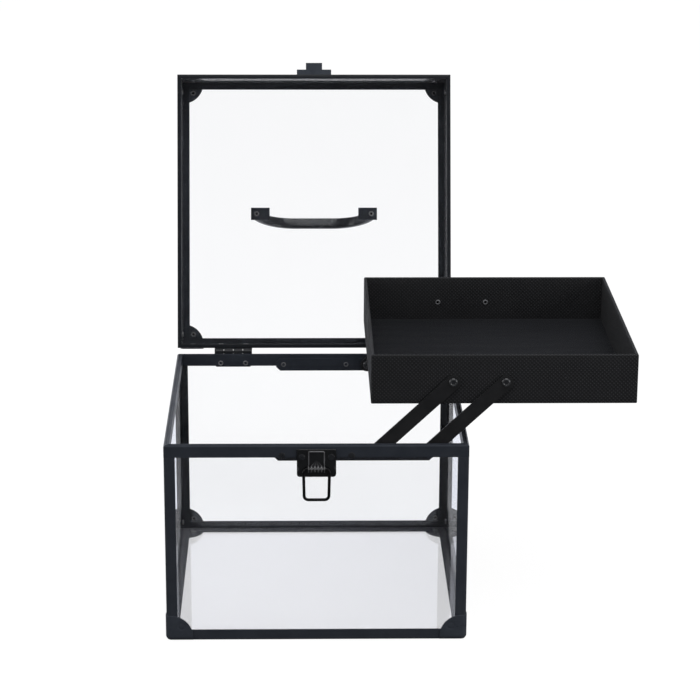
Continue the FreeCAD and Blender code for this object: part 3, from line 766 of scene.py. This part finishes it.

# %% [markdown]
# ## Rivets
# The case is held together by hollow rivets. Outside they show a low round head, inside a rolled ring, and
# in each ring a near-black plug, painted shade of its hole. Both are profiles turned round the rivet's axis,
# and every place gets a copy in one mesh.
# The arms fold across the strips, so the rings there are sunk until the arms clear them.

# %% Place the rivets of hinges, strips and latch
HEAD_RADIUS, HEAD_HEIGHT, HEAD_ROOT = 2.75 * MM, 0.38 * MM, -0.6 * MM
dome = arc((0, 0), 1.0, 0, 90, 8) * [HEAD_RADIUS, HEAD_HEIGHT]
HEAD = np.concatenate([[[0, HEAD_ROOT], [HEAD_RADIUS, HEAD_ROOT]], dome])
RING = np.concatenate([arc((1.75, 0.05), 0.62, -60, 240, 12), [[1.15, -0.9], [2.1, -0.9]]]) * MM
# A closed near-black plug inside each ring: painted shade of the rivet's hollow.
HOLE_SHADE_PLUG = np.array([[0, -0.9], [1.3, -0.9], [1.3, -0.45], [0, -0.45]]) * MM
rear_front = np.repeat([[0, 1.0, 0], [0, -1.0, 0]], 2, axis=0)
rivet_heads, rivet_rings, hole_shade_plugs, pivot_heads = [], [], [], []


def spread(xs, y, z):
    """Places along x at one y and z."""
    return np.column_stack([xs, np.full(len(xs), y), np.full(len(xs), z)])


def on_both_sides(xs, z, face):
    """Places on the rear and the front at a distance from the middle."""
    return np.tile(spread(xs, 0, z), (2, 1)) + rear_front * face


def add_rivets(kept, name, profile, places, axes, body, slot, ring=False):
    """One mesh of a profile turned at places that look along axes; on the lid they swing open with it."""
    if body == "lid":
        places, axes = open_lid(places), swung(np.asarray(axes, float), LID_SWING)
    kept.append(grid_piece(name, turned(profile, places, axes), body, slot, (True, ring)))


def add_heads(name, places, axes, body):
    """One mesh of low heads."""
    add_rivets(rivet_heads, name, HEAD, places, axes, body, "black_steel")


def add_rings(name, places, axes, body):
    """One mesh of rolled rings, and one of near-black plugs in them, painted shade of the holes."""
    add_rivets(rivet_rings, name, RING, places, axes, body, "pin_steel", ring=True)
    add_rivets(hole_shade_plugs, name + "_shade_plugs", HOLE_SHADE_PLUG, places, axes, body, "pin_steel")


inner_panel = CASE_HALF - FRAME_SHEET - PANEL_SHEET
rim_inside = inner_panel - FRAME_SHEET
LEAF_FACE, HINGE_DROP = CASE_HALF + 1.2 * MM, 8.0 * MM
LEAF_X, LEAF_RIVETS = np.array([[-74.2], [74.2]]), np.array([-11.3, 11.3])
hinge_x = (LEAF_X + LEAF_RIVETS).ravel() * MM
for body, z, inside in (
    ("case", HINGE_Z - HINGE_DROP, rim_inside), ("lid", HINGE_Z + HINGE_DROP, inner_panel),
):
    add_heads("hinge_heads_" + body, spread(hinge_x, LEAF_FACE, z), (0, 1, 0), body)
    add_rings("hinge_rings_" + body, spread(hinge_x, inside, z), (0, -1, 0), body)

STRIP_Z, STRIP_FACE, STRIP_RING_SINK = 164.4 * MM, 118.9 * MM, 0.45 * MM
STRIP_X, LATCH_X = np.array([[-28.3, 28.7], [-12.0, 12.0]]) * MM
STRIKE_X, BRACKET_X = np.array([[-11.5, 11.5], [-53.4, 53.4]]) * MM
LATCH_Z, STRIKE_Z = 163.3 * MM, 179.6 * MM
lid_panel_in = LID_TOP - CAP_SHEET - FRAME_SHEET - PANEL_SHEET
add_rings("strip_rings", on_both_sides(STRIP_X, STRIP_Z, STRIP_FACE + STRIP_RING_SINK), -rear_front, "case")
add_heads("strip_heads", on_both_sides(STRIP_X, STRIP_Z, CASE_HALF), rear_front, "case")
add_heads("latch_heads", spread(LATCH_X, latch_face, LATCH_Z), (0, -1, 0), "case")
add_heads("strike_heads", spread(STRIKE_X, latch_face, STRIKE_Z), (0, -1, 0), "lid")
add_rings("bracket_rings", spread(BRACKET_X, 0, lid_panel_in), (0, 0, -1), "lid")

# %% [markdown]
# ## Rivets of the caps
# Each cap has a rivet in all three ears. Its head lies in the dimple, so it doesn't stand proud of the
# cap, and its ring shows on the inside of the clear sheet. A cap's three axes are the inward directions of
# its corner, so a place is the corner, moved in by the rivet's distance along two of them.

# %% Rivet the caps
def ear_places(corners, inward, depth):
    """Places and outward axes of the three ears of each corner, at a depth under the cap's outer face."""
    axes = np.eye(3)
    reach = EAR_RIVET * (1 - axes) + depth * axes
    places = corners[:, None] + inward[:, None] * reach[None]
    return places.reshape(-1, 3), (-inward[:, None] * axes[None]).reshape(-1, 3)


panel_depth = CAP_SHEET + FRAME_SHEET + PANEL_SHEET
for name, corner_set, inward, body in (
    ("foot_cap", foot_corners, foot_inward, "case"), ("lid_cap", lid_corners, lid_inward, "lid"),
):
    places, axes = ear_places(corner_set, inward, DIMPLE_DEPTH)
    add_heads(name + "_heads", places, axes, body)
    places, axes = ear_places(corner_set, inward, panel_depth)
    add_rings(name + "_rings", places, -axes, body)

# %% [markdown]
# ## Pivots of the arms
# The arms turn on larger rivets whose heads are rolled: a round bead with a sunk middle. Their tails show
# as rings inside the tray.

# %% Roll the pivot heads
PIVOT_HEAD = np.concatenate([
    [[0, -0.3], [3.7, -0.3], [3.7, 0.1]], arc((2.5, 0.1), 1.1, 0, 165, 11), [[1.2, -0.1], [0, -0.1]]
]) * MM
LOWER_X, UPPER_X = np.array([47.7, 90.7]) * MM, np.array([111.315, 154.315]) * MM
UPPER_Z, ARM_OUT, ARM_IN, TRAY_IN = np.array([224.769, 118.6, 117.1, 114.2]) * MM
for name, places, axes, body in (
    ("upper_pivot_heads", on_both_sides(UPPER_X, UPPER_Z, ARM_OUT), rear_front, "tray"),
    ("lower_pivot_heads", on_both_sides(LOWER_X, STRIP_Z, ARM_IN), -rear_front, "case"),
):
    add_rivets(pivot_heads, name, PIVOT_HEAD, places, axes, body, "pin_steel")
add_rings("tray_rings", on_both_sides(UPPER_X, UPPER_Z, TRAY_IN), -rear_front, "tray")
print("rivet pieces:", sum(map(len, (rivet_heads, rivet_rings, hole_shade_plugs, pivot_heads))))

# %% [markdown]
# ## Black finishes
# Nearly everything opaque here is black, and the finishes differ by gloss: satin on the anodised bars,
# glossier on the lacquered steel, soft on the arms. The colour is close to black with a little blue, the
# gloss varies in soft clouds, and fine lines run along the drawn bars. A rounded-edge normal lets the crisp
# CAD edges catch a thin light line, as real edges do.

# %% Mix the black finishes
NO_TURN, CLOUDS, EVEN = (0, 0, 0), (70, 70, 70), (1200, 1200, 1200)
LINE_GLOSS, HIGHLIGHT_PATCHES, BUMP_REACH = 0.04, (0.6, 1.0), 0.4 * MM
NOISE_LOW, NOISE_HIGH = 0.3, 0.7


def grain(tree, scale, turn=NO_TURN, detail=3.0):
    """Soft noise on the piece's own coordinates, turned first and then stretched by a scale per axis."""
    place = node(tree, "Mapping", Vector=node(tree, "TexCoord").outputs["Object"], Rotation=turn).outputs[0]
    place = node(tree, "Mapping", Vector=place, Scale=scale).outputs[0]
    return node(tree, "TexNoise", Vector=place, Scale=1.0, Detail=detail, Roughness=0.55).outputs["Fac"]


def drift(tree, noise, low, high):
    """Noise, which stays between about 0.3 and 0.7, spread from low to high."""
    return stretch(tree, noise, NOISE_LOW, NOISE_HIGH, low, high)


def two_tones(tree, noise, first, second):
    """Colour that drifts between two tones."""
    ramp = node(tree, "ValToRGB", Fac=noise)
    for stop, place, tone in zip(ramp.color_ramp.elements, (NOISE_LOW, NOISE_HIGH), (first, second)):
        stop.position, stop.color = place, (*tone, 1)
    return ramp.outputs["Color"]


def black_finish(
    name, tones, gloss, specular, fine=EVEN, turn=NO_TURN, edge=0.3, dent=0.02, metal=0.0, highlight_tone=None,
):
    """Black finish: clouds drift tones and roughness, fine lines give the bump, edges are rounded in light.

    The edge's radius is in millimetres. A pale tone is painted as highlight where the piece's highlight share
    says so, in patches.
    """
    material, tree, shade = new_finish(name)
    clouds, lines = grain(tree, CLOUDS), grain(tree, fine, turn)
    colour = two_tones(tree, clouds, *tones)
    # Painted highlight: a pale tone mixed in where the piece's highlight share is high.
    if highlight_tone:
        rub_and_highlight = node(tree, "Attribute")
        rub_and_highlight.attribute_name = "painted_highlight"
        share = maths(tree, "MULTIPLY", rub_and_highlight.outputs["Fac"], drift(tree, clouds, *HIGHLIGHT_PATCHES))
        colour = mixed(tree, share, colour, (*highlight_tone, 1))
    roughness = maths(tree, "ADD", drift(tree, clouds, *gloss), drift(tree, lines, -LINE_GLOSS, LINE_GLOSS))
    rounded = node(tree, "Bevel", Radius=edge * MM)
    rounded.samples = 4
    bump = node(tree, "Bump", Height=lines, Normal=rounded.outputs[0], Strength=dent, Distance=BUMP_REACH)
    feed(
        tree, shade, Base_Color=colour, Roughness=roughness, Normal=bump.outputs[0],
        Specular_IOR_Level=specular, Metallic=metal,
    )
    return material


BAR = (((0.0228, 0.0264, 0.0342), (0.0284, 0.0326, 0.0416)), (0.36, 0.48), 0.20)
LINES = {"x": (60, 2600, 2600), "y": (2600, 60, 2600), "z": (2600, 2600, 60)}
LID_LEAN = (-LID_SWING, 0, 0)
bar_x = black_finish("anodised_bar_across", *BAR, LINES["x"])
bar_y = black_finish("anodised_bar_deep", *BAR, LINES["y"])
bar_z = black_finish("anodised_bar_upright", *BAR, LINES["z"])
rim_x = black_finish("anodised_rim_across", BAR[0], (0.55, 0.65), 0.06, LINES["x"], edge=0.12)
lid_bar_y = black_finish("anodised_lid_bar_deep", *BAR, LINES["y"], LID_LEAN)
lid_bar_z = black_finish("anodised_lid_post", *BAR, LINES["z"], LID_LEAN)
# The lid's rims take darker tones than the other bars: painted shade on the same anodised finish.
lid_rim = black_finish(
    "anodised_lid_rim_painted_shade", ((0.0086, 0.0098, 0.0126), (0.0108, 0.0123, 0.0156)), (0.30, 0.42), 0.26, edge=0.15
)
steel = black_finish(
    "lacquered_steel", ((0.0294, 0.0342, 0.0440), (0.0366, 0.0423, 0.0534)), (0.26, 0.38), 0.26, dent=0.03
)
hinge_black = black_finish(
    "black_hinge_steel", ((0.0085, 0.0092, 0.0110), (0.0125, 0.0135, 0.0158)), (0.26, 0.38), 0.22, dent=0.03
)
# The latch's pale tone on the rolled rim and the rib crests is painted highlight.
latch_steel = black_finish(
    "stove_black_latch", ((0.0050, 0.0054, 0.0062), (0.0080, 0.0085, 0.0095)), (0.15, 0.23), 0.5,
    highlight_tone=(0.10, 0.10, 0.106),
)
arm_finish = black_finish(
    "satin_arm_lacquer", ((0.0112, 0.0113, 0.0122), (0.0154, 0.0155, 0.0167)), (0.34, 0.46), 0.25, dent=0.03
)
rivet_finish = black_finish(
    "blackened_rivet", ((0.011, 0.012, 0.014), (0.016, 0.017, 0.020)), (0.24, 0.36), 0.4
)
pivot_finish = black_finish(
    "rolled_pivot_steel", ((0.020, 0.021, 0.023), (0.032, 0.033, 0.036)), (0.18, 0.28), 0.7
)
# Rivet rings take a pale tone: partly the rolled tails' nickel, partly painted highlight on the rings.
ring_finish = black_finish(
    "nickel_ring_and_painted_highlight", ((0.100, 0.101, 0.108), (0.170, 0.171, 0.182)), (0.22, 0.34), 0.5, metal=0.2
)
# Near-black finish of the plugs: painted shade of the rivet holes.
painted_hole_shade = black_finish(
    "painted_rivet_hole_shade", ((0.002, 0.002, 0.0022), (0.004, 0.004, 0.0044)), (0.6, 0.8), 0.1
)
wire_finish = black_finish(
    "black_wire", ((0.003, 0.003, 0.0035), (0.006, 0.006, 0.007)), (0.28, 0.40), 0.16
)
grip_finish = black_finish(
    "moulded_black_plastic", ((0.0135, 0.0150, 0.0185), (0.0185, 0.0205, 0.0245)), (0.16, 0.26), 0.4,
    (500, 500, 500),
)
print("black finishes made:", sum("Bevel" in m.node_tree.nodes for m in bpy.data.materials if m.use_nodes))

# %% [markdown]
# ## Clear acrylic
# The panels are polished acrylic with a slightly cool tint. A clear sheet on a white floor shows only
# by its tint, its reflections and a few wipe marks, so the roughness is almost nothing and drifts a little.
# The floor sheet carries everything that is put into the case. It is scuffed, and a little haze veils the
# black bars under it. The lid's side sheets are rubbed in the same way by hands.

# %% Polish the acrylic
ACRYLIC_IOR, WIPES, WIPES_TURN = 1.46, (22, 60, 22), (0.5, 0.3, 0.7)
WIPE_SHADE, WIPE_GLOSS, WAVE, WAVE_REACH = 0.994, 0.008, 0.01, 0.3 * MM
VEIL_TINT, VEIL_SPREAD = (0.70, 0.77, 1.0, 1), 0.4


def clear_sheet(name, tint, haze=0.0, veil=0.0):
    """Clear shader with a tint, faint wipe marks in the roughness, a barely wavy face and a share of haze.

    A veil is a cool sheen that fine scratches give at a flat angle.
    """
    material, tree, shade = new_finish(name)
    wipes = grain(tree, WIPES, WIPES_TURN)
    bump = node(tree, "Bump", Height=wipes, Strength=WAVE, Distance=WAVE_REACH)
    feed(
        tree, shade, Base_Color=two_tones(tree, wipes, tint, tuple(v * WIPE_SHADE for v in tint)),
        Roughness=drift(tree, wipes, 0.0, WIPE_GLOSS), Normal=bump.outputs[0], IOR=ACRYLIC_IOR,
        Transmission_Weight=1 - haze, Sheen_Weight=veil, Sheen_Tint=VEIL_TINT, Sheen_Roughness=VEIL_SPREAD,
    )
    return material


acrylic = clear_sheet("clear_acrylic", (0.981, 0.986, 0.998))
scuffed = clear_sheet("scuffed_floor_acrylic", (0.992, 0.990, 1.0), haze=0.05, veil=0.25)
rub_and_highlight = clear_sheet("rubbed_lid_acrylic", (0.965, 0.970, 1.0), haze=0.10)
print("clear sheets:", acrylic.name, scuffed.name, rub_and_highlight.name)

# %% [markdown]
# ## Woven cloth
# The tray's cover is a coated cloth with a fine weave, about two millimetres in pitch. The product of two
# sine waves over the cloth map gives bumps and hollows in a checker, which is the over and under of a plain
# weave. A pale tone on the crests is a painted glint, the staggered specks where threads catch the light.
# The lining card has a finer, streaky face, with a fainter painted glint.

# %% Weave the cloths
GLINT_FROM, FIBRES = 0.35, (1800, 1800, 1800)
CLOTH_SHEEN, CLOTH_SHEEN_SPREAD = 0.02, 0.5


def woven(name, pitch, tones, crest_glint, gloss, specular, fibre, depth, streak):
    """Plain weave: height = sin(2 pi u / pitch) * sin(2 pi v / pitch), with a painted glint's tone on the
    crests.

    Slow noise, stretched by the streak, drifts the tones and the roughness, and fibres roughen the bump.
    """
    material, tree, shade = new_finish(name)
    parts = node(tree, "SeparateXYZ", Vector=node(tree, "TexCoord").outputs["UV"])
    turns = [maths(tree, "MULTIPLY", parts.outputs[axis], 2 * math.pi / pitch) for axis in "XY"]
    height = maths(tree, "MULTIPLY", *[maths(tree, "SINE", turn) for turn in turns])
    rubs = grain(tree, streak, detail=4.0)
    # Painted glint: the crests of the weave take a pale tone.
    crest = stretch(tree, height, GLINT_FROM, 1.0, 0, 1)
    fibres = maths(tree, "MULTIPLY", grain(tree, FIBRES, detail=2.0), fibre)
    raised = maths(tree, "ADD", fibres, height)
    bump = node(tree, "Bump", Height=raised, Strength=depth, Distance=BUMP_REACH)
    feed(
        tree, shade, Base_Color=mixed(tree, crest, two_tones(tree, rubs, *tones), (*crest_glint, 1)),
        Roughness=drift(tree, rubs, *gloss), Normal=bump.outputs[0], Specular_IOR_Level=specular,
        Sheen_Weight=CLOTH_SHEEN, Sheen_Roughness=CLOTH_SHEEN_SPREAD,
    )
    return material


tray_cloth = woven(
    "coated_weave", 3.2 * MM, ((0.0097, 0.0101, 0.0110), (0.0130, 0.0135, 0.0146)), (0.038, 0.038, 0.042),
    gloss=(0.60, 0.75), specular=0.12, fibre=0.5, depth=0.35, streak=(30, 30, 30),
)
card_cloth = woven(
    "lining_cloth", 0.9 * MM, ((0.0068, 0.0073, 0.0090), (0.0096, 0.0103, 0.0124)), (0.0110, 0.0117, 0.0140),
    gloss=(0.62, 0.80), specular=0.06, fibre=0.8, depth=0.25, streak=(18, 90, 60),
)
print("cloths:", tray_cloth.name, card_cloth.name)

# %% [markdown]
# ## Give every piece its finish
# The CAD bars take the finish whose lines run along them: the first pattern that fits a node's name decides.
# New pieces take the finish of what they stand for, and there a later row paints over an earlier one.

# %% Hand out the finishes
def paint(piece, finish):
    """Put one finish on all of a piece."""
    piece.data.materials.clear()
    piece.data.materials.append(finish)


CAD_FINISHES = (
    ("*panel*", acrylic), ("corner_post*", bar_z), ("lid_posts", lid_bar_z), ("lid_*_left", lid_bar_y),
    ("lid_*_right", lid_bar_y), ("*angle_left", bar_y), ("*angle_right", bar_y), ("rim_left", bar_y),
    ("rim_right", bar_y), ("rim_*", rim_x), ("arm_strip*", rim_x), ("*angle*", bar_x), ("lid_rim*", bar_x),
    ("hinge*", hinge_black), ("*pins", rivet_finish), ("*arm_*", arm_finish), ("*", steel),
)
for name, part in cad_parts.items():
    paint(part, next(finish for pattern, finish in CAD_FINISHES if fnmatch(name, pattern)))
for pieces, finish in (
    ((foot_cap_piece, lid_cap_piece), steel),
    (rivet_heads, rivet_finish),
    ([piece for piece in rivet_heads if "cap" in piece.name], steel),
    (rivet_rings, ring_finish),
    (hole_shade_plugs, painted_hole_shade),
    (pivot_heads, pivot_finish),
    ((lid_rim_piece,), lid_rim),
    ((latch_piece,), latch_steel),
    ((bail_piece,), wire_finish),
    ((grip_piece, trunnion_piece), grip_finish),
    ((tray_piece,), tray_cloth),
    ((card_piece,), card_cloth),
    (clear_sheets, acrylic),
    ([piece for piece in clear_sheets if "floor" in piece.name], scuffed),
    ([piece for piece in clear_sheets if "lid_panel" in piece.name], rub_and_highlight),
):
    for piece in pieces:
        paint(piece, finish)
print("finished", len(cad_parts), "CAD nodes and", len(new_pieces), "new pieces")
